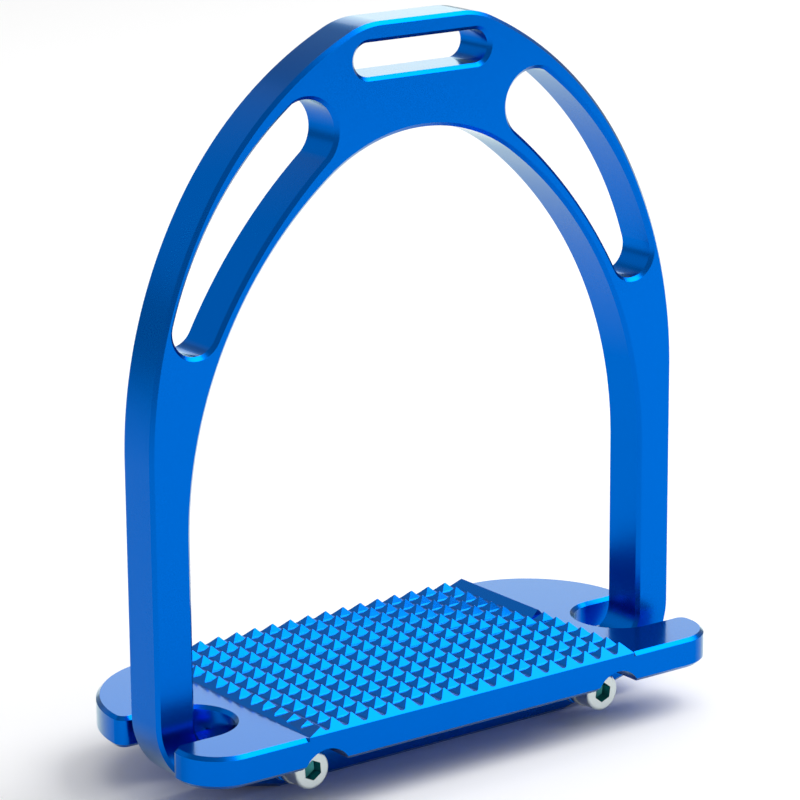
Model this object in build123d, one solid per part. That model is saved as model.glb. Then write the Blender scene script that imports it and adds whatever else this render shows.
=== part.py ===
from build123d import *
import math
import os

# Stirrup iron, in millimetres.  +Z is up and +X runs along the tread.  The origin is on the
# underside of the bow's bottom bar, midway between the legs and midway through its depth.

# ---- bow: a closed ring cut from plate, whose bottom bar lies under the tread ----
BOW_DEPTH = 10.9
INNER_HALF = 60.0
LEG_WIDTH = 9.4
OUTER_HALF = INNER_HALF + LEG_WIDTH
CROWN_Z = 161.4
CROWN_HALF = 10.5
SHOULDER = (19.0, 159.4)
HAUNCH = (54.8, 127.3)
OUTER_SPRING_Z = 75.0
ARCH_TOP_Z = 138.0
ARCH_KNEE = (24.6, 129.5)
INNER_SPRING_Z = 58.0
BAR_TOP = 12.7
FOOT_Z = 20.2
FOOT_RADIUS = 16.5
FOOT_SLOPE = 13.0
INNER_FOOT_RADIUS = 6.0
BOW_EDGE = 0.8

# ---- strap slot in the crown, and the windows in the shoulders ----
STRAP_SLOT_LENGTH = 34.8
STRAP_SLOT_HEIGHT = 7.2
STRAP_SLOT_Z = 153.6
WINDOW_OUTER = ((32.9, 146.5), (51.2, 128.0), (62.7, 104.7))
WINDOW_LOW = (58.3, 97.4)
WINDOW_INNER = ((53.0, 99.9), (41.0, 117.8), (24.6, 134.3))
WINDOW_HIGH = (23.4, 143.4)

# ---- tread plate ----
TREAD_FRONT = -23.6
TREAD_BACK = 38.4
TREAD_HALF = 69.6
TREAD_UNDER = 10.6
TREAD_FLAT = 17.6
TREAD_EDGE = 0.8
FRONT_LOBE_RADIUS = 10.0
BACK_LOBE_HALF = 69.0
BACK_LOBE_CONTROL_Y = 25.5
BACK_LOBE_CONTROL_X = 58.0
LEG_SLOT_HALF = 10.0
LEG_SLOT_END = 48.6
MOUTH_RADIUS = 2.6
CHANNEL_CLEARANCE = 0.2

# ---- gripping studs: V grooves both ways leave rows of pyramids ----
STUD_COLUMNS = 18
STUD_ROWS = 14
STUD_TOP = 20.0
STUD_HEIGHT = STUD_TOP - TREAD_FLAT
FIELD_HALF = 43.8
VALLEY_SHARE = 0.36
VALLEY_FLOOR = 0.21
RIDGE_ROWS = 7
END_CUT_LOW = (-FIELD_HALF, TREAD_FRONT, TREAD_FLAT)
END_CUT_INNER = (-36.6, TREAD_FRONT, STUD_TOP)
END_CUT_BACK = (-41.4, 8.0, STUD_TOP)

# ---- M5 socket cap screws, through lugs under the tread and through the bar ----
SCREW_X = 39.4
SCREW_Z = 7.8
SHANK_RADIUS = 2.5
HEAD_RADIUS = 4.25
HEAD_HEIGHT = 5.0
HEAD_EDGE = 0.5
HEX_ACROSS_FLATS = 4.0
HEX_DEPTH = 2.6
HEAD_FACE = -18.2
SCREW_TIP = 13.2
WASHER_RADIUS = 4.6
WASHER_THICKNESS = 1.0
HOLE_RADIUS = 2.55
LUG_SEAT = HEAD_FACE + HEAD_HEIGHT + WASHER_THICKNESS
LUG_BACK = 14.0
LUG_HALF = 5.2
LUG_LOW = 4.2
LUG_CORNER = 2.5
BAR_GAP = 0.3
NOTCH_RADIUS = 6.4

LUG_ROOT = 1.0
EDGE_FILL = 0.5
CUT_OVERRUN = 1.0
DEPTH_MATCH = 0.01
CORNER_MATCH = 0.1

BAR_HALF = BOW_DEPTH / 2
SIDES = (("left", -1), ("right", 1))
KEY_TURN = {-1: 34.0, 1: 22.0}


def across(x, z, y=0.0):
    """A plane facing the front, for pieces that run front to back."""
    return Plane(origin=(x, y, z), x_dir=(1, 0, 0), z_dir=(0, -1, 0))


def rod(x, z, radius, y_front, y_back):
    """A round bar along Y."""
    return extrude(across(x, z, y_front) * Circle(radius), amount=-(y_back - y_front))


def half_outer():
    """Right half of the bow's outside, from the middle of the crown to the middle of the bar."""
    arch_low = TangentArc((OUTER_HALF, OUTER_SPRING_Z), HAUNCH, tangent=(0, 1))
    arch_high = TangentArc(arch_low @ 1, SHOULDER, tangent=arch_low % 1)
    turn = math.radians(90.0 - FOOT_SLOPE)
    foot_x = OUTER_HALF - FOOT_RADIUS
    foot_mid = (foot_x + FOOT_RADIUS * math.cos(turn / 2), FOOT_Z - FOOT_RADIUS * math.sin(turn / 2))
    foot_end = (foot_x + FOOT_RADIUS * math.cos(turn), FOOT_Z - FOOT_RADIUS * math.sin(turn))
    flat_x = foot_end[0] - foot_end[1] / math.tan(math.radians(FOOT_SLOPE))
    return [
        Line((0, CROWN_Z), (CROWN_HALF, CROWN_Z)),
        TangentArc((CROWN_HALF, CROWN_Z), SHOULDER, tangent=(1, 0)),
        arch_high,
        arch_low,
        Line((OUTER_HALF, OUTER_SPRING_Z), (OUTER_HALF, FOOT_Z)),
        ThreePointArc((OUTER_HALF, FOOT_Z), foot_mid, foot_end),
        Line(foot_end, (flat_x, 0)),
        Line((flat_x, 0), (0, 0)),
    ]


def half_inner():
    """Right half of the foot opening's outline, from the arch's top to the middle of the bar."""
    arch = TangentArc((INNER_HALF, INNER_SPRING_Z), ARCH_KNEE, tangent=(0, 1))
    corner_z = BAR_TOP + INNER_FOOT_RADIUS
    corner_x = INNER_HALF - INNER_FOOT_RADIUS
    return [
        TangentArc((0, ARCH_TOP_Z), ARCH_KNEE, tangent=(1, 0)),
        arch,
        Line((INNER_HALF, INNER_SPRING_Z), (INNER_HALF, corner_z)),
        TangentArc((INNER_HALF, corner_z), (corner_x, BAR_TOP), tangent=(0, -1)),
        Line((corner_x, BAR_TOP), (0, BAR_TOP)),
    ]


def symmetric_face(half):
    """A face on the front plane, from one half of its outline and that half's reflection."""
    front = Plane.XZ
    right = [front.from_local_coords(edge) for edge in half]
    left = [edge.mirror(Plane.YZ) for edge in right]
    return make_face(Wire(right + left).edges())


def window():
    """Right shoulder window: four arcs, wide at the top and narrow at the foot."""
    low, high = WINDOW_LOW, WINDOW_HIGH
    edges = [
        ThreePointArc(*WINDOW_OUTER),
        ThreePointArc(WINDOW_OUTER[2], low, WINDOW_INNER[0]),
        ThreePointArc(*WINDOW_INNER),
        ThreePointArc(WINDOW_INNER[2], high, WINDOW_OUTER[0]),
    ]
    return make_face([Plane.XZ.from_local_coords(edge) for edge in edges])


def broken_edges(solid, y_faces, size):
    """Chamfer every edge of the faces that lie at the given depths."""
    edges = ShapeList()
    for y in y_faces:
        upright = solid.faces().filter_by(Axis.Y)
        for face in upright.filter_by_position(Axis.Y, y - DEPTH_MATCH, y + DEPTH_MATCH):
            edges += face.edges()
    return chamfer(edges, size)


def make_bow():
    outline = symmetric_face(half_outer()) - symmetric_face(half_inner())
    right_window = window()
    outline -= right_window
    outline -= right_window.mirror(Plane.YZ)
    outline -= across(0, STRAP_SLOT_Z) * SlotOverall(STRAP_SLOT_LENGTH, STRAP_SLOT_HEIGHT)
    bow = extrude(outline, amount=BAR_HALF, both=True)
    bow = broken_edges(bow, (-BAR_HALF, BAR_HALF), BOW_EDGE)
    for _, side in SIDES:
        bow -= rod(side * SCREW_X, SCREW_Z, HOLE_RADIUS, -BOW_DEPTH, BOW_DEPTH)
    return bow


def tread_outline():
    """Plan of the plate: lobes each side of a leg slot that is open at each end."""
    back_lobe_start = LEG_SLOT_HALF + MOUTH_RADIUS
    right = [
        Line((0, TREAD_FRONT), (TREAD_HALF - FRONT_LOBE_RADIUS, TREAD_FRONT)),
        TangentArc(
            (TREAD_HALF - FRONT_LOBE_RADIUS, TREAD_FRONT),
            (TREAD_HALF, TREAD_FRONT + FRONT_LOBE_RADIUS),
            tangent=(1, 0),
        ),
        Line((TREAD_HALF, TREAD_FRONT + FRONT_LOBE_RADIUS), (TREAD_HALF, 0)),
        Line((TREAD_HALF, 0), (BACK_LOBE_HALF, 0)),
        Line((BACK_LOBE_HALF, 0), (BACK_LOBE_HALF, back_lobe_start)),
        Bezier(
            (BACK_LOBE_HALF, back_lobe_start),
            (BACK_LOBE_HALF, BACK_LOBE_CONTROL_Y),
            (BACK_LOBE_CONTROL_X, TREAD_BACK),
            (FIELD_HALF, TREAD_BACK),
        ),
        Line((FIELD_HALF, TREAD_BACK), (0, TREAD_BACK)),
    ]
    left = [edge.mirror(Plane.YZ) for edge in right]
    plan = make_face(Wire(right + left).edges())
    slot_length = TREAD_HALF + MOUTH_RADIUS - LEG_SLOT_END
    for _, side in SIDES:
        slot = Pos(side * (LEG_SLOT_END + LEG_SLOT_HALF), 0) * Circle(LEG_SLOT_HALF)
        mouth_x = LEG_SLOT_END + LEG_SLOT_HALF + slot_length / 2
        slot += Pos(side * mouth_x, 0) * Rectangle(slot_length, 2 * LEG_SLOT_HALF)
        plan -= slot
    reach = LEG_SLOT_HALF + CORNER_MATCH
    corners = plan.vertices().filter_by_position(Axis.Y, -reach, reach)
    corners = corners.filter_by(lambda v: abs(v.X) > TREAD_HALF - MOUTH_RADIUS)
    return fillet(corners, MOUTH_RADIUS)


def groove(length, width, height, rounded):
    """A V cutter lying along X above the origin, with a sharp or a rounded bottom."""
    half = width / 2
    if rounded:
        reach, rise = VALLEY_SHARE * half, VALLEY_SHARE * height
        profile = [
            Line((-half, height), (-reach, rise)),
            ThreePointArc((-reach, rise), (0, VALLEY_FLOOR * height), (reach, rise)),
            Line((reach, rise), (half, height)),
        ]
    else:
        profile = [Line((-half, height), (0, 0)), Line((0, 0), (half, height))]
    profile.append(Line((half, height), (-half, height)))
    tool = make_face([Plane.YZ.from_local_coords(edge) for edge in profile])
    return extrude(tool, amount=length / 2, both=True)


def end_cut():
    """The space above a shallow slope that takes the studs down at the front of the left end."""
    low, inner, back = Vector(*END_CUT_LOW), Vector(*END_CUT_INNER), Vector(*END_CUT_BACK)
    up = (inner - low).cross(back - low)
    reach = 2 * FIELD_HALF
    return Plane(origin=low, z_dir=up) * Pos(0, 0, reach / 2) * Box(4 * reach, 4 * reach, reach)


def make_studs():
    """The raised block on the plate, cut both ways into pyramids."""
    depth = TREAD_BACK - TREAD_FRONT
    middle = (TREAD_BACK + TREAD_FRONT) / 2
    block = Pos(0, middle, TREAD_FLAT + STUD_HEIGHT / 2) * Box(2 * FIELD_HALF, depth, STUD_HEIGHT)
    column = 2 * FIELD_HALF / STUD_COLUMNS
    row = depth / STUD_ROWS
    for index in range(STUD_ROWS + 1):
        cut = groove(3 * FIELD_HALF, row, STUD_HEIGHT, 0 < index < STUD_ROWS)
        block -= Pos(0, TREAD_FRONT + index * row, TREAD_FLAT) * cut
    for index in range(STUD_COLUMNS + 1):
        cut = Rot(0, 0, 90) * groove(2 * depth, column, STUD_HEIGHT, 0 < index < STUD_COLUMNS)
        block -= Pos(-FIELD_HALF + index * column, middle, TREAD_FLAT) * cut
    ridge_length = RIDGE_ROWS * row
    ridge = Plane.XZ * Polyline((-column / 2, 0), (column / 2, 0), (0, STUD_HEIGHT), close=True)
    ridge = extrude(make_face(ridge.edges()), amount=ridge_length / 2, both=True)
    block += Pos(FIELD_HALF - column / 2, TREAD_BACK - ridge_length / 2, TREAD_FLAT) * ridge
    return block - end_cut()


def lug(side, y_near, y_far):
    """A lug that hangs from the plate beside the bar, with rounded lower corners."""
    height = TREAD_FLAT - LUG_ROOT - LUG_LOW
    block = Pos(side * SCREW_X, (y_near + y_far) / 2, LUG_LOW + height / 2) * Box(
        2 * LUG_HALF, y_far - y_near, height
    )
    lower = block.edges().filter_by(Axis.Y).sort_by(Axis.Z)[:2]
    return fillet(lower, LUG_CORNER)


def make_tread():
    plan = tread_outline()
    plate = Pos(0, 0, TREAD_UNDER) * extrude(plan, amount=TREAD_FLAT - TREAD_UNDER)
    top = plate.faces().sort_by(Axis.Z)[-1]
    bottom = plate.faces().sort_by(Axis.Z)[0]
    plate = chamfer(top.edges() + bottom.edges(), TREAD_EDGE)
    strip = TREAD_EDGE + EDGE_FILL
    for edge_y, inward in ((TREAD_FRONT, 1), (TREAD_BACK, -1)):
        fill = Pos(0, edge_y + inward * strip / 2, TREAD_FLAT - TREAD_EDGE)
        plate += fill * Box(2 * FIELD_HALF, strip, 2 * TREAD_EDGE)
    plate += make_studs()
    channel_half = BAR_HALF + CHANNEL_CLEARANCE
    channel_height = BAR_TOP - TREAD_UNDER
    plate -= Pos(0, 0, TREAD_UNDER + channel_height / 2) * Box(
        2 * INNER_HALF, 2 * channel_half, channel_height
    )
    for _, side in SIDES:
        plate -= rod(side * SCREW_X, SCREW_Z, NOTCH_RADIUS, TREAD_FRONT - CUT_OVERRUN, LUG_SEAT)
        plate += lug(side, LUG_SEAT, -BAR_HALF - BAR_GAP)
        plate += lug(side, BAR_HALF + BAR_GAP, LUG_BACK)
        plate -= rod(side * SCREW_X, SCREW_Z, HOLE_RADIUS, LUG_SEAT - CUT_OVERRUN, LUG_BACK + CUT_OVERRUN)
    return plate


def make_screw(side):
    head = rod(side * SCREW_X, SCREW_Z, HEAD_RADIUS, HEAD_FACE, HEAD_FACE + HEAD_HEIGHT)
    rim = head.edges().filter_by(GeomType.CIRCLE).sort_by(Axis.Y)[0]
    head = chamfer(rim, HEAD_EDGE)
    hexagon = RegularPolygon(HEX_ACROSS_FLATS / 2, 6, major_radius=False, rotation=KEY_TURN[side])
    socket_plane = across(side * SCREW_X, SCREW_Z, HEAD_FACE)
    head -= extrude(socket_plane * hexagon, amount=-HEX_DEPTH)
    shank = rod(side * SCREW_X, SCREW_Z, SHANK_RADIUS, HEAD_FACE + HEAD_HEIGHT, SCREW_TIP)
    tip = shank.edges().filter_by(GeomType.CIRCLE).sort_by(Axis.Y)[-1]
    return head + chamfer(tip, HEAD_EDGE)


def make_washer(side):
    front = LUG_SEAT - WASHER_THICKNESS
    disc = rod(side * SCREW_X, SCREW_Z, WASHER_RADIUS, front, LUG_SEAT)
    bore = rod(side * SCREW_X, SCREW_Z, HOLE_RADIUS, front - CUT_OVERRUN, LUG_SEAT + CUT_OVERRUN)
    return disc - bore


def main():
    os.makedirs("parts", exist_ok=True)
    pieces = {"bow": make_bow(), "tread_plate": make_tread()}
    for name, side in SIDES:
        pieces[f"{name}_cap_screw"] = make_screw(side)
        pieces[f"{name}_washer"] = make_washer(side)
    for name, piece in pieces.items():
        export_step(piece, f"parts/{name}.step")


main()
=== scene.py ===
import bmesh
import bpy
import math
from mathutils import Matrix, Vector


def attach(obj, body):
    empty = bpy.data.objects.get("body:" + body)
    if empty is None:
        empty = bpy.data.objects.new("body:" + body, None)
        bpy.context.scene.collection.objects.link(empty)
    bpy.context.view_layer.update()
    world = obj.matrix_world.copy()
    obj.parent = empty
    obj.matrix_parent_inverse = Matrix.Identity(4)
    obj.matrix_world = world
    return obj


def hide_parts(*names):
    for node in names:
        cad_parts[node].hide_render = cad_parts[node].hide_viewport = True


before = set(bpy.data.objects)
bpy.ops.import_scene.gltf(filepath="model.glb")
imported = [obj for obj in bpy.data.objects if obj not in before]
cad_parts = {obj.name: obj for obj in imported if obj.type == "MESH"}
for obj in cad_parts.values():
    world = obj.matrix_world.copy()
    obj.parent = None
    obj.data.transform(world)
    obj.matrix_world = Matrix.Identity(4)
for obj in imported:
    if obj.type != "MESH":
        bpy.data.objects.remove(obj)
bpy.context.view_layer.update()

MM = 0.001

# ---- the iron's own sizes, in millimetres ----
BOW_DEPTH = 10.9
INNER_HALF = 60.0
OUTER_HALF = 69.4
CROWN_Z = 161.4
CROWN_HALF = 10.5
SHOULDER = (19.0, 159.4)
HAUNCH = (54.8, 127.3)
OUTER_SPRING_Z = 75.0
ARCH_TOP_Z = 138.0
ARCH_KNEE = (24.6, 129.5)
INNER_SPRING_Z = 58.0
BAR_TOP = 12.7
FOOT_Z = 20.2
FOOT_RADIUS = 16.5
FOOT_SLOPE = math.radians(13.0)
INNER_FOOT_RADIUS = 6.0
BOW_EDGE = 0.8
STRAP_SLOT = (34.8, 7.2, 153.6)
WINDOW_OUTER = ((32.9, 146.5), (51.2, 128.0), (62.7, 104.7))
WINDOW_LOW = (58.3, 97.4)
WINDOW_INNER = ((53.0, 99.9), (41.0, 117.8), (24.6, 134.3))
WINDOW_HIGH = (23.4, 143.4)

TREAD_FRONT = -23.6
TREAD_BACK = 38.4
TREAD_HALF = 69.6
TREAD_UNDER = 10.6
TREAD_FLAT = 17.6
TREAD_EDGE = 0.8
EDGE_FADE = 0.6
CHANNEL_CLEARANCE = 0.2
CHANNEL_OVERRUN = 5.0
FRONT_LOBE_RADIUS = 10.0
BACK_LOBE_HALF = 69.0
BACK_LOBE_CONTROL = (25.5, 58.0)
LEG_SLOT_HALF = 10.0
LEG_SLOT_END = 48.6
MOUTH_RADIUS = 2.6
FIELD_HALF = 43.8
STUD_COLUMNS = 18
STUD_ROWS = 14
STUD_TOP = 20.0
STUD_TIP = 0.2
STUD_SINK = 0.02
VALLEY_SHARE = 0.36
VALLEY_FLOOR = 0.21
VALLEY_STEPS = 4
RIDGE_ROWS = 7
END_CUT_LOW = (-FIELD_HALF, TREAD_FRONT, TREAD_FLAT)
END_CUT_INNER = (-36.6, TREAD_FRONT, STUD_TOP)
END_CUT_BACK = (-41.4, 8.0, STUD_TOP)

SCREW_X = 39.4
SCREW_Z = 7.8
SHANK_RADIUS = 2.5
HEAD_RADIUS = 4.25
HEAD_HEIGHT = 5.0
HEAD_FACE = -18.2
HEAD_SOFT = 0.7
HEAD_SOFT_STEPS = 6
RIM_EDGE = 0.15
THREAD_PITCH = 0.8
THREAD_DEPTH = 0.25
THREAD_CREST = (0.4, 0.5)
THREAD_STOP = 1.2
TIP_TAPER = ((0.6, 0.2), (0.0, 0.7))
SCREW_TIP = 13.2
HEX_ACROSS_FLATS = 4.0
HEX_DEPTH = 2.6
HEX_CONE = 0.9
WASHER_RADIUS = 4.6
WASHER_THICKNESS = 1.0
HOLE_RADIUS = 2.55
LUG_SEAT = HEAD_FACE + HEAD_HEIGHT + WASHER_THICKNESS
LUG_BACK = 14.0
LUG_HALF = 5.2
LUG_LOW = 4.2
LUG_CORNER = 2.5
LUG_EDGE = 0.3
LUG_ROOT = 2.0
NOTCH_RADIUS = 6.4
BAR_GAP = 0.3
SIDES = (("left", -1), ("right", 1))
KEY_TURN = {-1: math.radians(34), 1: math.radians(22)}

# ---- tolerances and overruns, in millimetres ----
SAME_PLACE = 0.01
MIDDLE = 1e-6
WELD_GAP = 1e-3
CUT_OVERRUN = 1.0
HOLE_REACH = 0.3
FACE_MARGIN = 0.1

# ---- shading ----
SHARP_ANGLE = 35.0
SHARP_ANGLE_TURNED = 30.0
GRAIN_SHARE = 0.35
GRAIN_RANGE = (0.3, 0.7)
BUMP_DEPTH = 0.00005
COAT_ROUGHNESS = 0.12
COAT_RANGE = (0.45, 0.76)
EDGE_TINT = (0.05, 0.6, 0.5, 1)

# ---- studio, in metres ----
FLOOR_HALF = 6.0
FLOOR_SHADE = 0.93
FLOOR_ROUGHNESS = 0.9
WORLD_STRENGTH = 0.42
LIGHT_TARGET = (0, 0, 0.08)
LIGHTS = (
    ("key_softbox", (0.91, -0.42, 1.25), (1.1, 1.1), 4.5),
    ("top_softbox", (0.3, 0.2, 1.8), (1.8, 1.8), 1.3),
    ("back_panel", (1.4, 1.9, 0.8), (1.6, 1.0), 1.25),
    ("left_panel", (-0.9, 1.7, 1.05), (1.6, 1.2), 0.3),
)
CAMERA_PLACE = (-0.4352, -0.5869, 0.2750)
CAMERA_BACK = (-0.57276, -0.77719, 0.26059)
CAMERA_ROLL = math.radians(-0.392)
CAMERA_LENS = 158.58


# ---- outlines, as points in millimetres ----
def arc_through(start, middle, end, steps=24):
    """Points on the circle through three points, the start included and the end left out."""
    (ax, ay), (bx, by), (cx, cy) = start, middle, end
    d = 2 * (ax * (by - cy) + bx * (cy - ay) + cx * (ay - by))
    sa, sb, sc = ax * ax + ay * ay, bx * bx + by * by, cx * cx + cy * cy
    ux = (sa * (by - cy) + sb * (cy - ay) + sc * (ay - by)) / d
    uy = (sa * (cx - bx) + sb * (ax - cx) + sc * (bx - ax)) / d
    radius = math.hypot(ax - ux, ay - uy)
    a0, a1, a2 = (math.atan2(y - uy, x - ux) for x, y in (start, middle, end))
    turn = 2 * math.pi
    left = (a1 - a0) % turn < (a2 - a0) % turn
    sweep = (a2 - a0) % turn if left else -((a0 - a2) % turn)
    angles = (a0 + sweep * k / steps for k in range(steps))
    return [(ux + radius * math.cos(a), uy + radius * math.sin(a)) for a in angles]


def arc_from(start, tangent, end, steps=24):
    """Points on the arc that leaves start along tangent and reaches end; also its last tangent."""
    tx, ty = tangent
    length = math.hypot(tx, ty)
    tx, ty = tx / length, ty / length
    cx, cy = end[0] - start[0], end[1] - start[1]
    along, side = cx * tx + cy * ty, -cx * ty + cy * tx
    half = math.atan2(side, along)
    chord = math.hypot(cx, cy)
    points = []
    for k in range(steps):
        a = 2 * half * k / steps
        reach = chord * math.sin(a / 2) / math.sin(half)
        direction = math.atan2(ty, tx) + a / 2
        points.append((start[0] + reach * math.cos(direction), start[1] + reach * math.sin(direction)))
    last = math.atan2(ty, tx) + 2 * half
    return points, (math.cos(last), math.sin(last))


def arc_about(centre, radius, start, end, steps=16):
    """Points on a circle about a centre from one angle to another, the last left out."""
    cx, cy = centre
    angles = (start + (end - start) * k / steps for k in range(steps))
    return [(cx + radius * math.cos(a), cy + radius * math.sin(a)) for a in angles]


def both_sides(right):
    """A closed outline from its right half, which starts and ends on the middle line."""
    return right + [(-x, y) for x, y in reversed(right) if x > MIDDLE]


def bow_outside():
    """The bow's outside: crown, shoulders, legs, feet and the underside of the bar."""
    corner, _ = arc_from((CROWN_HALF, CROWN_Z), (1, 0), SHOULDER, steps=10)
    low, tangent = arc_from((OUTER_HALF, OUTER_SPRING_Z), (0, 1), HAUNCH, steps=40)
    high, _ = arc_from(HAUNCH, tangent, SHOULDER, steps=40)
    arch = list(reversed(low + high))
    turn = math.pi / 2 - FOOT_SLOPE
    foot = arc_about((OUTER_HALF - FOOT_RADIUS, FOOT_Z), FOOT_RADIUS, 0, -turn, steps=28)
    end_x = OUTER_HALF - FOOT_RADIUS + FOOT_RADIUS * math.cos(turn)
    end_z = FOOT_Z - FOOT_RADIUS * math.sin(turn)
    flat_x = end_x - end_z / math.tan(FOOT_SLOPE)
    right = [(0, CROWN_Z)] + corner + [SHOULDER] + arch[:-1] + [(OUTER_HALF, OUTER_SPRING_Z)]
    return both_sides(right + foot + [(end_x, end_z), (flat_x, 0), (0, 0)])


def bow_inside():
    """The opening for the foot, above the bar."""
    top, _ = arc_from((0, ARCH_TOP_Z), (1, 0), ARCH_KNEE, steps=24)
    side, _ = arc_from((INNER_HALF, INNER_SPRING_Z), (0, 1), ARCH_KNEE, steps=40)
    corner_x, corner_z = INNER_HALF - INNER_FOOT_RADIUS, BAR_TOP + INNER_FOOT_RADIUS
    corner = arc_about((corner_x, corner_z), INNER_FOOT_RADIUS, 0, -math.pi / 2, steps=14)
    right = top + [ARCH_KNEE] + list(reversed(side)) + corner + [(corner_x, BAR_TOP), (0, BAR_TOP)]
    return both_sides(right)


def window_outline(side):
    """A shoulder window: two long curved sides, closed by a round end at the top and the foot."""
    points = arc_through(*WINDOW_OUTER, steps=36)
    points += arc_through(WINDOW_OUTER[2], WINDOW_LOW, WINDOW_INNER[0], steps=24)
    points += arc_through(*WINDOW_INNER, steps=36)
    points += arc_through(WINDOW_INNER[2], WINDOW_HIGH, WINDOW_OUTER[0], steps=24)
    return [(side * x, z) for x, z in points]


def slot_outline():
    """The strap slot in the crown, with a half circle at each end."""
    length, height, z = STRAP_SLOT
    r = height / 2
    x = length / 2 - r
    right = arc_about((x, z), r, math.pi / 2, -math.pi / 2, steps=24)
    left = arc_about((-x, z), r, -math.pi / 2, -3 * math.pi / 2, steps=24)
    return right + left


def bezier(p0, p1, p2, p3, steps):
    """Points on a cubic curve, the last left out."""
    points = []
    for k in range(steps):
        t = k / steps
        s = 1 - t
        w = (s * s * s, 3 * s * s * t, 3 * s * t * t, t * t * t)
        x = sum(a * p[0] for a, p in zip(w, (p0, p1, p2, p3)))
        y = sum(a * p[1] for a, p in zip(w, (p0, p1, p2, p3)))
        points.append((x, y))
    return points


def tread_outline():
    """Plan of the plate, with a lobe each side of each open leg slot."""
    r, m = FRONT_LOBE_RADIUS, MOUTH_RADIUS
    half, slot = TREAD_HALF, LEG_SLOT_HALF
    right = [(0, TREAD_FRONT), (FIELD_HALF, TREAD_FRONT), (FIELD_HALF + EDGE_FADE, TREAD_FRONT)]
    right += arc_about((half - r, TREAD_FRONT + r), r, -math.pi / 2, 0, steps=24)
    right += arc_about((half - m, -slot - m), m, 0, math.pi / 2, steps=12)
    right += arc_about((LEG_SLOT_END + slot, 0), slot, -math.pi / 2, -3 * math.pi / 2, steps=48)
    wide = BACK_LOBE_HALF
    right += arc_about((wide - m, slot + m), m, -math.pi / 2, 0, steps=12)
    lobe = ((wide, slot + m), (wide, BACK_LOBE_CONTROL[0]), (BACK_LOBE_CONTROL[1], TREAD_BACK))
    right += bezier(*lobe, (FIELD_HALF + EDGE_FADE, TREAD_BACK), steps=44)
    right += [(FIELD_HALF, TREAD_BACK), (0, TREAD_BACK)]
    return both_sides(right)


# ---- meshes ----
def link(name, mesh):
    piece = bpy.data.objects.new(name, mesh)
    bpy.context.scene.collection.objects.link(piece)
    return piece


def plain_mesh(piece, name):
    """The piece with its modifiers applied, as a new object with its place in its mesh."""
    graph = bpy.context.evaluated_depsgraph_get()
    mesh = bpy.data.meshes.new_from_object(piece.evaluated_get(graph))
    mesh.transform(piece.matrix_world)
    bpy.data.objects.remove(piece)
    return link(name, mesh)


def cut_plate(name, outlines, low, high, edge, upright=False, edge_steps=0):
    """A flat plate with holes, chamfered with no edge steps. Upright plates face the front."""
    curve = bpy.data.curves.new(name, "CURVE")
    curve.dimensions = "2D"
    curve.fill_mode = "BOTH"
    curve.extrude = (high - low) / 2 * MM - edge * MM
    curve.bevel_depth = edge * MM
    curve.bevel_resolution = edge_steps
    curve.offset = -edge * MM
    for outline in outlines:
        spline = curve.splines.new("POLY")
        spline.points.add(len(outline) - 1)
        for point, (x, y) in zip(spline.points, outline):
            point.co = (x * MM, y * MM, 0, 1)
        spline.use_cyclic_u = True
    piece = link(name, curve)
    middle = (high + low) / 2 * MM
    if upright:
        tilt = Matrix.Rotation(math.pi / 2, 4, "X")
        piece.matrix_world = Matrix.Translation((0, middle, 0)) @ tilt
    else:
        piece.matrix_world = Matrix.Translation((0, 0, middle))
    bpy.context.view_layer.update()
    piece = plain_mesh(piece, name)
    weld(piece)
    return piece


def weld(piece):
    """Joins points that share a place and turns every face outwards."""
    shape = bmesh.new()
    shape.from_mesh(piece.data)
    bmesh.ops.remove_doubles(shape, verts=shape.verts, dist=WELD_GAP * MM)
    bmesh.ops.dissolve_degenerate(shape, dist=WELD_GAP * MM, edges=shape.edges)
    bmesh.ops.recalc_face_normals(shape, faces=shape.faces)
    shape.to_mesh(piece.data)
    shape.free()


def block(name, low, high):
    """A box from its lowest and highest corners."""
    shape = bmesh.new()
    bmesh.ops.create_cube(shape, size=1.0)
    for v in shape.verts:
        v.co = Vector([(a + (b - a) * (c + 0.5)) * MM for a, b, c in zip(low, high, v.co)])
    mesh = bpy.data.meshes.new(name)
    shape.to_mesh(mesh)
    shape.free()
    return link(name, mesh)


def turned(name, x, z, profile, segments=64, start=0.0):
    """A solid of revolution about a line along Y, from (y, radius) points."""
    shape = bmesh.new()
    rings = []
    for y, radius in profile:
        if radius == 0:
            rings.append([shape.verts.new((x * MM, y * MM, z * MM))])
            continue
        ring = []
        for k in range(segments):
            a = start + 2 * math.pi * k / segments
            place = Vector((x + radius * math.cos(a), y, z + radius * math.sin(a)))
            ring.append(shape.verts.new(place * MM))
        rings.append(ring)
    for a, b in zip(rings, rings[1:]):
        for k in range(segments):
            n = (k + 1) % segments
            if len(a) == 1:
                shape.faces.new((a[0], b[k], b[n]))
            elif len(b) == 1:
                shape.faces.new((a[k], b[0], a[n]))
            else:
                shape.faces.new((a[k], b[k], b[n], a[n]))
    bmesh.ops.recalc_face_normals(shape, faces=shape.faces)
    mesh = bpy.data.meshes.new(name)
    shape.to_mesh(mesh)
    shape.free()
    return link(name, mesh)


def combine(piece, tool, operation):
    """Joins a tool to a piece, or cuts it away, and removes the tool."""
    modifier = piece.modifiers.new("combine", "BOOLEAN")
    modifier.operation = operation
    modifier.solver = "EXACT"
    modifier.object = tool
    name = piece.name
    piece.name = name + "_blank"
    result = plain_mesh(piece, name)
    bpy.data.objects.remove(tool)
    return result


def round_cut(piece, side, radius, near, far):
    """Cuts a round hole that runs from front to back on a screw's line."""
    profile = [(near, 0), (near, radius), (far, radius), (far, 0)]
    return combine(piece, turned("round_cut", side * SCREW_X, SCREW_Z, profile), "DIFFERENCE")


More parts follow.
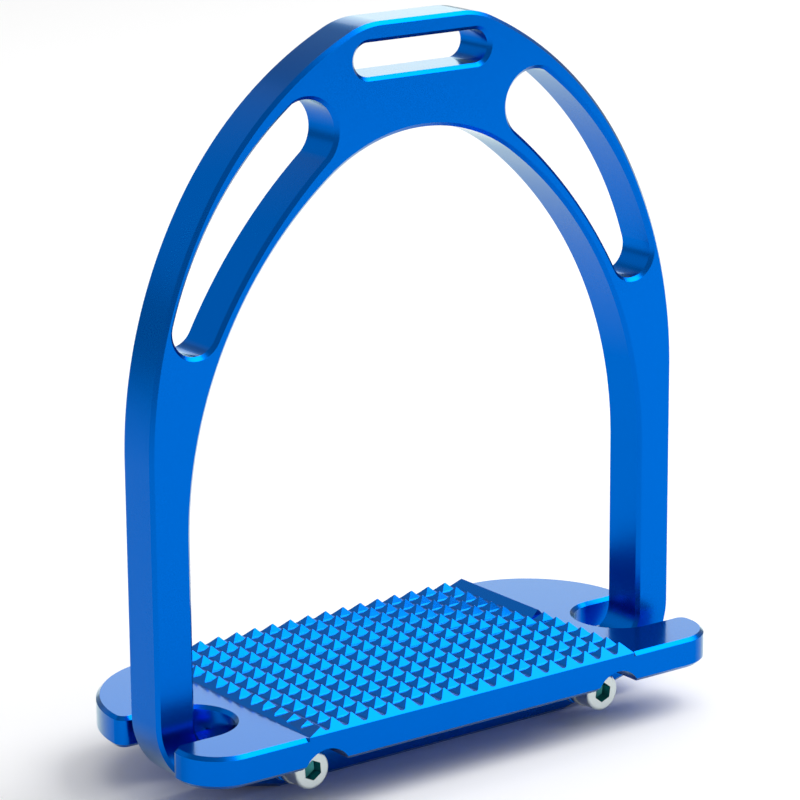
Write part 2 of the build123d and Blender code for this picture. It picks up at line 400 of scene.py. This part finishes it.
def smooth(piece, angle=SHARP_ANGLE):
    """Soft shading on rounded stretches while the flat faces stay flat."""
    mesh = piece.data
    for face in mesh.polygons:
        face.use_smooth = True
    mesh.set_sharp_from_angle(angle=math.radians(angle))
    weighted = piece.modifiers.new("weighted", "WEIGHTED_NORMAL")
    weighted.keep_sharp = True
    weighted.weight = 100
    name = piece.name
    piece.name = name + "_raw"
    return plain_mesh(piece, name)


def make_bow():
    outlines = [bow_outside(), bow_inside(), slot_outline(), window_outline(-1), window_outline(1)]
    bow = cut_plate("bow_ring", outlines, -BOW_DEPTH / 2, BOW_DEPTH / 2, BOW_EDGE, upright=True)
    for side in (-1, 1):
        bow = round_cut(bow, side, HOLE_RADIUS, -BOW_DEPTH, BOW_DEPTH)
    return smooth(bow)


def lug(side, near, far):
    """A lug under the plate, with rounded lower corners."""
    x = side * SCREW_X
    r = LUG_CORNER
    root = TREAD_UNDER + LUG_ROOT
    points = [(x + LUG_HALF, root), (x - LUG_HALF, root)]
    points += arc_about((x - LUG_HALF + r, LUG_LOW + r), r, math.pi, 1.5 * math.pi, steps=10)
    points += arc_about((x + LUG_HALF - r, LUG_LOW + r), r, 1.5 * math.pi, 2 * math.pi, steps=10)
    points += [(x + LUG_HALF, LUG_LOW + r)]
    return cut_plate("lug", [points], near, far, LUG_EDGE, upright=True, edge_steps=1)


def square_field_edges(tread):
    """Keeps the plate's top edges square where the studs run out to them."""
    shape = bmesh.new()
    shape.from_mesh(tread.data)
    # The top and the underside each become one face, so no sliver folds over when corners move.
    for level in (TREAD_UNDER, TREAD_FLAT):
        flat = [f for f in shape.faces
                if all(abs(v.co.z / MM - level) < SAME_PLACE for v in f.verts)]
        bmesh.ops.dissolve_faces(shape, faces=flat, use_verts=False)
    for v in shape.verts:
        x, y, z = v.co / MM
        if abs(x) > FIELD_HALF + EDGE_FADE / 2 or z < TREAD_FLAT - SAME_PLACE:
            continue
        if y < TREAD_FRONT + TREAD_EDGE + SAME_PLACE:
            v.co.y = TREAD_FRONT * MM
        elif y > TREAD_BACK - TREAD_EDGE - SAME_PLACE:
            v.co.y = TREAD_BACK * MM
    shape.to_mesh(tread.data)
    shape.free()


def make_tread():
    """The plate, with a channel for the bar and a lug on each side of it at each screw."""
    tread = cut_plate("tread_plate_body", [tread_outline()], TREAD_UNDER, TREAD_FLAT, TREAD_EDGE)
    square_field_edges(tread)
    half = BOW_DEPTH / 2 + CHANNEL_CLEARANCE
    low = (-INNER_HALF, -half, TREAD_UNDER - CHANNEL_OVERRUN)
    tread = combine(tread, block("channel", low, (INNER_HALF, half, BAR_TOP)), "DIFFERENCE")
    seat = BOW_DEPTH / 2 + BAR_GAP
    for side in (-1, 1):
        tread = round_cut(tread, side, NOTCH_RADIUS, TREAD_FRONT - CUT_OVERRUN, LUG_SEAT)
        for near, far in ((LUG_SEAT, -seat), (seat, LUG_BACK)):
            tread = combine(tread, lug(side, near, far), "UNION")
        tread = round_cut(tread, side, HOLE_RADIUS, LUG_SEAT - CUT_OVERRUN, LUG_BACK + CUT_OVERRUN)
    return smooth(tread)


def stud_shape(width, depth, height, tip):
    """One pyramid stud on the XY plane, with a blunt tip and a foot that curves into the valleys."""
    levels = [(tip / width, height)]
    start = 1.0 - VALLEY_SHARE
    for k in range(VALLEY_STEPS + 1):
        t = k / VALLEY_STEPS
        share = VALLEY_FLOOR + (VALLEY_SHARE - VALLEY_FLOOR) * (1 - t) ** 2
        levels.append((start + VALLEY_SHARE * t, share * height))
    levels.append((1.0, 0.0))
    shape = bmesh.new()
    corners = ((-1, -1), (1, -1), (1, 1), (-1, 1))
    rings = [[shape.verts.new((a * s * width / 2, b * s * depth / 2, z)) for a, b in corners]
             for s, z in levels]
    shape.faces.new(rings[0])
    shape.faces.new(list(reversed(rings[-1])))
    for high, low in zip(rings, rings[1:]):
        for k in range(4):
            n = (k + 1) % 4
            shape.faces.new((low[k], low[n], high[n], high[k]))
    mesh = bpy.data.meshes.new("stud")
    shape.to_mesh(mesh)
    shape.free()
    return link("stud", mesh)


def tree_socket(tree, name, way, kind, value=None):
    """A named input or output of a node tree."""
    item = tree.interface.new_socket(name=name, in_out=way, socket_type=kind)
    if value is not None:
        item.default_value = value
    return item


def stud_tree():
    """Rows and columns of one shape on a grid."""
    tree = bpy.data.node_groups.new("stud_field", "GeometryNodeTree")
    tree_socket(tree, "Geometry", "OUTPUT", "NodeSocketGeometry")
    tree_socket(tree, "Length", "INPUT", "NodeSocketFloat", 2 * FIELD_HALF * MM)
    tree_socket(tree, "Depth", "INPUT", "NodeSocketFloat", (TREAD_BACK - TREAD_FRONT) * MM)
    tree_socket(tree, "Columns", "INPUT", "NodeSocketInt", STUD_COLUMNS)
    tree_socket(tree, "Rows", "INPUT", "NodeSocketInt", STUD_ROWS)
    tree_socket(tree, "Stud", "INPUT", "NodeSocketObject")
    tree_socket(tree, "Finish", "INPUT", "NodeSocketMaterial")
    nodes, links = tree.nodes, tree.links
    given = nodes.new("NodeGroupInput")
    grid = nodes.new("GeometryNodeMeshGrid")
    place = nodes.new("GeometryNodeInstanceOnPoints")
    stud = nodes.new("GeometryNodeObjectInfo")
    real = nodes.new("GeometryNodeRealizeInstances")
    finish = nodes.new("GeometryNodeSetMaterial")
    out = nodes.new("NodeGroupOutput")
    links.new(given.outputs["Length"], grid.inputs["Size X"])
    links.new(given.outputs["Depth"], grid.inputs["Size Y"])
    links.new(given.outputs["Columns"], grid.inputs["Vertices X"])
    links.new(given.outputs["Rows"], grid.inputs["Vertices Y"])
    links.new(given.outputs["Stud"], stud.inputs["Object"])
    links.new(grid.outputs["Mesh"], place.inputs["Points"])
    links.new(stud.outputs["Geometry"], place.inputs["Instance"])
    links.new(place.outputs["Instances"], real.inputs["Geometry"])
    links.new(real.outputs["Geometry"], finish.inputs["Geometry"])
    links.new(given.outputs["Finish"], finish.inputs["Material"])
    links.new(finish.outputs["Geometry"], out.inputs["Geometry"])
    return tree


def run_tree(name, tree, values):
    """A plain mesh from a node tree, its inputs given by name."""
    holder = link(name + "_holder", bpy.data.meshes.new(name))
    modifier = holder.modifiers.new("nodes", "NODES")
    modifier.node_group = tree
    for item in tree.interface.items_tree:
        if item.item_type == "SOCKET" and item.in_out == "INPUT":
            modifier[item.identifier] = values[item.name]
    bpy.context.view_layer.update()
    return plain_mesh(holder, name)


def make_studs(finish):
    """The stud field, with its ridge, its sloped left end and its plain outer flanks."""
    pitch_x = 2 * FIELD_HALF / STUD_COLUMNS
    depth = TREAD_BACK - TREAD_FRONT
    pitch_y = depth / STUD_ROWS
    height = STUD_TOP - TREAD_FLAT + STUD_SINK
    stud = stud_shape(pitch_x * MM, pitch_y * MM, height * MM, STUD_TIP * MM)
    values = {
        "Length": (2 * FIELD_HALF - pitch_x) * MM,
        "Depth": (depth - pitch_y) * MM,
        "Columns": STUD_COLUMNS,
        "Rows": STUD_ROWS,
        "Stud": stud,
        "Finish": finish,
    }
    studs = run_tree("tread_studs", stud_tree(), values)
    middle = (TREAD_FRONT + TREAD_BACK) / 2
    studs.data.transform(Matrix.Translation((0, middle * MM, (TREAD_FLAT - STUD_SINK) * MM)))
    bpy.data.objects.remove(stud)
    add_ridge(studs, pitch_x, pitch_y * RIDGE_ROWS)
    low, inner, back = (Vector(p) * MM for p in (END_CUT_LOW, END_CUT_INNER, END_CUT_BACK))
    cut_above(studs, low, (inner - low).cross(back - low))
    for x, y in ((-FIELD_HALF, 0), (FIELD_HALF, 0), (0, TREAD_FRONT), (0, TREAD_BACK)):
        outward = Vector((x, y - middle if y else 0, 0)).normalized()
        cut_above(studs, Vector((x, y, TREAD_FLAT)) * MM, outward + Vector((0, 0, 1)))
    return studs


def add_ridge(studs, width, length):
    """The last column's unbroken ridge at the back of the right end."""
    shape = bmesh.new()
    shape.from_mesh(studs.data)
    x, half, tip = FIELD_HALF - width / 2, width / 2, STUD_TIP / 2
    foot = ((x - half, TREAD_FLAT), (x + half, TREAD_FLAT))
    section = foot + ((x + tip, STUD_TOP), (x - tip, STUD_TOP))
    ends = [[shape.verts.new((a * MM, y * MM, b * MM)) for a, b in section]
            for y in (TREAD_BACK - length, TREAD_BACK)]
    shape.faces.new(ends[0])
    shape.faces.new(list(reversed(ends[1])))
    for k in range(4):
        n = (k + 1) % 4
        shape.faces.new((ends[0][n], ends[0][k], ends[1][k], ends[1][n]))
    shape.to_mesh(studs.data)
    shape.free()


def cut_above(piece, point, normal):
    """Cuts away what lies beyond a plane and closes the cut."""
    shape = bmesh.new()
    shape.from_mesh(piece.data)
    geometry = shape.verts[:] + shape.edges[:] + shape.faces[:]
    bmesh.ops.bisect_plane(shape, geom=geometry, plane_co=point, plane_no=normal, clear_outer=True)
    bmesh.ops.holes_fill(shape, edges=[e for e in shape.edges if e.is_boundary], sides=0)
    shape.to_mesh(piece.data)
    shape.free()


def screw_profile():
    """Half section of the screw along its line: soft head, thread crests and a tapered tip."""
    top, seat = HEAD_FACE, HEAD_FACE + HEAD_HEIGHT
    rim, root = HEAD_RADIUS - HEAD_SOFT, SHANK_RADIUS - THREAD_DEPTH
    profile = [(top, 0), (top, rim)]
    for k in range(1, HEAD_SOFT_STEPS + 1):
        a = math.pi / 2 * k / HEAD_SOFT_STEPS
        profile.append((top + HEAD_SOFT * (1 - math.cos(a)), rim + HEAD_SOFT * math.sin(a)))
    profile += [(seat - RIM_EDGE, HEAD_RADIUS), (seat, HEAD_RADIUS - RIM_EDGE), (seat, root)]
    y = seat + THREAD_PITCH
    while y < SCREW_TIP - THREAD_STOP:
        profile.append((y, root))
        profile += [(y + THREAD_PITCH * share, SHANK_RADIUS) for share in THREAD_CREST]
        y += THREAD_PITCH
    profile += [(SCREW_TIP - back, SHANK_RADIUS - inward) for back, inward in TIP_TAPER]
    return profile + [(SCREW_TIP, 0)]


def make_screw(name, side):
    """Socket cap screw: a softly rounded head with a hexagonal key hole, and a threaded shank."""
    x = side * SCREW_X
    screw = turned(name, x, SCREW_Z, screw_profile(), 72)
    key = HEX_ACROSS_FLATS / 2 / math.cos(math.pi / 6)
    start, end = HEAD_FACE - CUT_OVERRUN, HEAD_FACE + HEX_DEPTH
    bore = [(start, 0), (start, key), (end, key), (end + HEX_CONE, 0)]
    hole = turned("key_hole", x, SCREW_Z, bore, 6, KEY_TURN[side])
    return smooth(combine(screw, hole, "DIFFERENCE"), SHARP_ANGLE_TURNED)


def make_washer(name, side):
    """A flat washer with a narrow chamfer round its outside."""
    front, back = LUG_SEAT - WASHER_THICKNESS, LUG_SEAT
    rim = WASHER_RADIUS - RIM_EDGE
    profile = [(front, HOLE_RADIUS), (front, rim), (front + RIM_EDGE, WASHER_RADIUS)]
    profile += [(back - RIM_EDGE, WASHER_RADIUS), (back, rim), (back, HOLE_RADIUS)]
    profile += [(front, HOLE_RADIUS)]
    washer = turned(name, side * SCREW_X, SCREW_Z, profile, 64)
    weld(washer)
    return smooth(washer, SHARP_ANGLE_TURNED)


# ---- finishes ----
def blast_grain():
    """Fine bead-blasted grain and slow shade drift, from object coordinates."""
    tree = bpy.data.node_groups.new("blast_grain", "ShaderNodeTree")
    tree_socket(tree, "Grain Scale", "INPUT", "NodeSocketFloat", 4000.0)
    tree_socket(tree, "Drift Scale", "INPUT", "NodeSocketFloat", 25.0)
    tree_socket(tree, "Light", "INPUT", "NodeSocketColor", (0.0, 0.2, 0.8, 1))
    tree_socket(tree, "Dark", "INPUT", "NodeSocketColor", (0.0, 0.1, 0.6, 1))
    tree_socket(tree, "Rough Low", "INPUT", "NodeSocketFloat", 0.2)
    tree_socket(tree, "Rough High", "INPUT", "NodeSocketFloat", 0.3)
    tree_socket(tree, "Color", "OUTPUT", "NodeSocketColor")
    tree_socket(tree, "Roughness", "OUTPUT", "NodeSocketFloat")
    tree_socket(tree, "Height", "OUTPUT", "NodeSocketFloat")
    n, l = tree.nodes, tree.links
    given, out = n.new("NodeGroupInput"), n.new("NodeGroupOutput")
    place = n.new("ShaderNodeTexCoord")
    grain, drift = n.new("ShaderNodeTexNoise"), n.new("ShaderNodeTexNoise")
    grain.inputs["Detail"].default_value = 3.0
    drift.inputs["Detail"].default_value = 2.0
    for noise, scale in ((grain, "Grain Scale"), (drift, "Drift Scale")):
        l.new(place.outputs["Object"], noise.inputs["Vector"])
        l.new(given.outputs[scale], noise.inputs["Scale"])
    blend = n.new("ShaderNodeMath")
    blend.operation = "MULTIPLY_ADD"
    blend.inputs[1].default_value = GRAIN_SHARE
    l.new(grain.outputs["Fac"], blend.inputs[0])
    rest = n.new("ShaderNodeMath")
    rest.operation = "MULTIPLY"
    rest.inputs[1].default_value = 1 - GRAIN_SHARE
    l.new(drift.outputs["Fac"], rest.inputs[0])
    l.new(rest.outputs[0], blend.inputs[2])
    colour = n.new("ShaderNodeMix")
    colour.data_type = "RGBA"
    l.new(blend.outputs[0], colour.inputs["Factor"])
    l.new(given.outputs["Dark"], colour.inputs[6])
    l.new(given.outputs["Light"], colour.inputs[7])
    rough = n.new("ShaderNodeMapRange")
    l.new(blend.outputs[0], rough.inputs["Value"])
    rough.inputs["From Min"].default_value, rough.inputs["From Max"].default_value = GRAIN_RANGE
    l.new(given.outputs["Rough Low"], rough.inputs["To Min"])
    l.new(given.outputs["Rough High"], rough.inputs["To Max"])
    l.new(colour.outputs[2], out.inputs["Color"])
    l.new(rough.outputs["Result"], out.inputs["Roughness"])
    l.new(grain.outputs["Fac"], out.inputs["Height"])
    return tree


GRAIN = blast_grain()


def metal(name, light, dark, rough, clear=False, grain=4000.0, bump=0.05):
    """A metal finish with grain. A clear one has a skin that shows at shallow angles."""
    material = bpy.data.materials.new(name)
    material.use_nodes = True
    n, l = material.node_tree.nodes, material.node_tree.links
    shader = n["Principled BSDF"]
    shader.inputs["Metallic"].default_value = 1.0
    shader.inputs["Coat Roughness"].default_value = COAT_ROUGHNESS
    if clear:
        shader.inputs["Specular Tint"].default_value = EDGE_TINT
        facing = n.new("ShaderNodeLayerWeight")
        facing.inputs["Blend"].default_value = 0.5
        skin = n.new("ShaderNodeMapRange")
        skin.inputs["From Min"].default_value, skin.inputs["From Max"].default_value = COAT_RANGE
        l.new(facing.outputs["Facing"], skin.inputs["Value"])
        l.new(skin.outputs["Result"], shader.inputs["Coat Weight"])
    surface = n.new("ShaderNodeGroup")
    surface.node_tree = GRAIN
    surface.inputs["Grain Scale"].default_value = grain
    surface.inputs["Light"].default_value = (*light, 1)
    surface.inputs["Dark"].default_value = (*dark, 1)
    surface.inputs["Rough Low"].default_value = rough[0]
    surface.inputs["Rough High"].default_value = rough[1]
    bumps = n.new("ShaderNodeBump")
    bumps.inputs["Strength"].default_value = bump
    bumps.inputs["Distance"].default_value = BUMP_DEPTH
    l.new(surface.outputs["Color"], shader.inputs["Base Color"])
    l.new(surface.outputs["Roughness"], shader.inputs["Roughness"])
    l.new(surface.outputs["Height"], bumps.inputs["Height"])
    l.new(bumps.outputs["Normal"], shader.inputs["Normal"])
    return material


def paint_socket_shade_and_reflection(screw, side, material):
    """Gives the walls and floor of the key hole painted shade and a painted reflection of the blue
    iron around them.
    """
    front, back = HEAD_FACE + FACE_MARGIN, HEAD_FACE + HEX_DEPTH + HEX_CONE
    reach = HEX_ACROSS_FLATS / 2 + HOLE_REACH
    screw.data.materials.append(material)
    for face in screw.data.polygons:
        x, y, z = (c / MM for c in face.center)
        radius = math.hypot(x - side * SCREW_X, z - SCREW_Z)
        if front < y < back and radius < reach:
            face.material_index = 1


def finish_with(piece, material):
    """Gives the whole piece one finish."""
    piece.data.materials.clear()
    piece.data.materials.append(material)


# ---- studio ----
def floor():
    """A plain pale floor that reaches past the view on every side."""
    shape = bmesh.new()
    bmesh.ops.create_grid(shape, x_segments=1, y_segments=1, size=FLOOR_HALF)
    mesh = bpy.data.meshes.new("studio_floor")
    shape.to_mesh(mesh)
    shape.free()
    ground = link("studio_floor", mesh)
    material = bpy.data.materials.new("studio_paper")
    material.use_nodes = True
    shader = material.node_tree.nodes["Principled BSDF"]
    shader.inputs["Base Color"].default_value = (FLOOR_SHADE, FLOOR_SHADE, FLOOR_SHADE, 1)
    shader.inputs["Roughness"].default_value = FLOOR_ROUGHNESS
    mesh.materials.append(material)


def area_light(name, place, size, brightness):
    """A softbox; its power is worked out from how bright its face should be."""
    light = bpy.data.lights.new(name, "AREA")
    light.shape = "RECTANGLE"
    light.size, light.size_y = size
    light.energy = brightness * math.pi * size[0] * size[1]
    lamp = bpy.data.objects.new(name, light)
    lamp.location = place
    aim = Vector(LIGHT_TARGET) - Vector(place)
    lamp.rotation_euler = aim.to_track_quat("-Z", "Y").to_euler()
    lamp.visible_camera = False
    bpy.context.scene.collection.objects.link(lamp)


def studio():
    floor()
    world = bpy.data.worlds.new("studio")
    bpy.context.scene.world = world
    world.use_nodes = True
    background = world.node_tree.nodes["Background"]
    background.inputs["Color"].default_value = (1, 1, 1, 1)
    background.inputs["Strength"].default_value = WORLD_STRENGTH
    for light in LIGHTS:
        area_light(*light)
    bpy.context.scene.view_settings.view_transform = "Standard"


def camera():
    """Three-quarter view from the front left, a little above the tread."""
    back = Vector(CAMERA_BACK).normalized()
    right = Vector((0, 0, 1)).cross(back).normalized()
    up = back.cross(right)
    cosine, sine = math.cos(CAMERA_ROLL), math.sin(CAMERA_ROLL)
    right, up = cosine * right + sine * up, cosine * up - sine * right
    view = bpy.data.cameras.new("camera")
    view.lens = CAMERA_LENS
    view.sensor_width = 36.0
    view.clip_start = 0.01
    seer = bpy.data.objects.new("camera", view)
    turn = Matrix((right, up, back)).transposed().to_4x4()
    seer.matrix_world = Matrix.Translation(CAMERA_PLACE) @ turn
    bpy.context.scene.collection.objects.link(seer)
    bpy.context.scene.camera = seer


BLUE = metal("anodised_blue", (0.0, 0.138, 0.63), (0.0, 0.118, 0.55), (0.22, 0.30), clear=True)
TREAD_BLUE = metal("tread_blue", (0.0, 0.138, 0.63), (0.0, 0.118, 0.55), (0.20, 0.28), clear=True)
# The studs are the plate's anodised blue made darker: painted shade standing in for the shade that
# falls between the studs.
STUD_BLUE_PAINTED_SHADE = metal("stud_blue", (0.0, 0.14, 0.56), (0.0, 0.11, 0.48), (0.22, 0.32))
STEEL = metal("screw_steel", (0.70, 0.76, 0.74), (0.55, 0.62, 0.60), (0.30, 0.42),
              grain=2500.0, bump=0.15)
# Teal and darker than the screw steel: painted shade in the key hole and a painted reflection of the
# blue iron around it.
KEY_HOLE_SHADE_AND_REFLECTION = metal("key_hole_shade", (0.10, 0.44, 0.44), (0.05, 0.28, 0.30), (0.25, 0.40), grain=1500.0)
WASHER = metal("washer_steel", (0.5, 0.52, 0.52), (0.4, 0.42, 0.42), (0.35, 0.5), grain=2500.0)

bow = make_bow()
finish_with(bow, BLUE)
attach(bow, "iron")
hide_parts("bow")

tread = make_tread()
finish_with(tread, TREAD_BLUE)
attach(tread, "iron")
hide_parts("tread_plate")

studs = make_studs(STUD_BLUE_PAINTED_SHADE)
finish_with(studs, STUD_BLUE_PAINTED_SHADE)
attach(studs, "iron")

for side_name, side_sign in SIDES:
    screw = make_screw(side_name + "_cap_screw_detail", side_sign)
    finish_with(screw, STEEL)
    paint_socket_shade_and_reflection(screw, side_sign, KEY_HOLE_SHADE_AND_REFLECTION)
    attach(screw, side_name + "_screw_body")
    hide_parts(side_name + "_cap_screw")
    washer = make_washer(side_name + "_washer_detail", side_sign)
    finish_with(washer, WASHER)
    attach(washer, side_name + "_washer_body")
    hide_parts(side_name + "_washer")

studio()
camera()
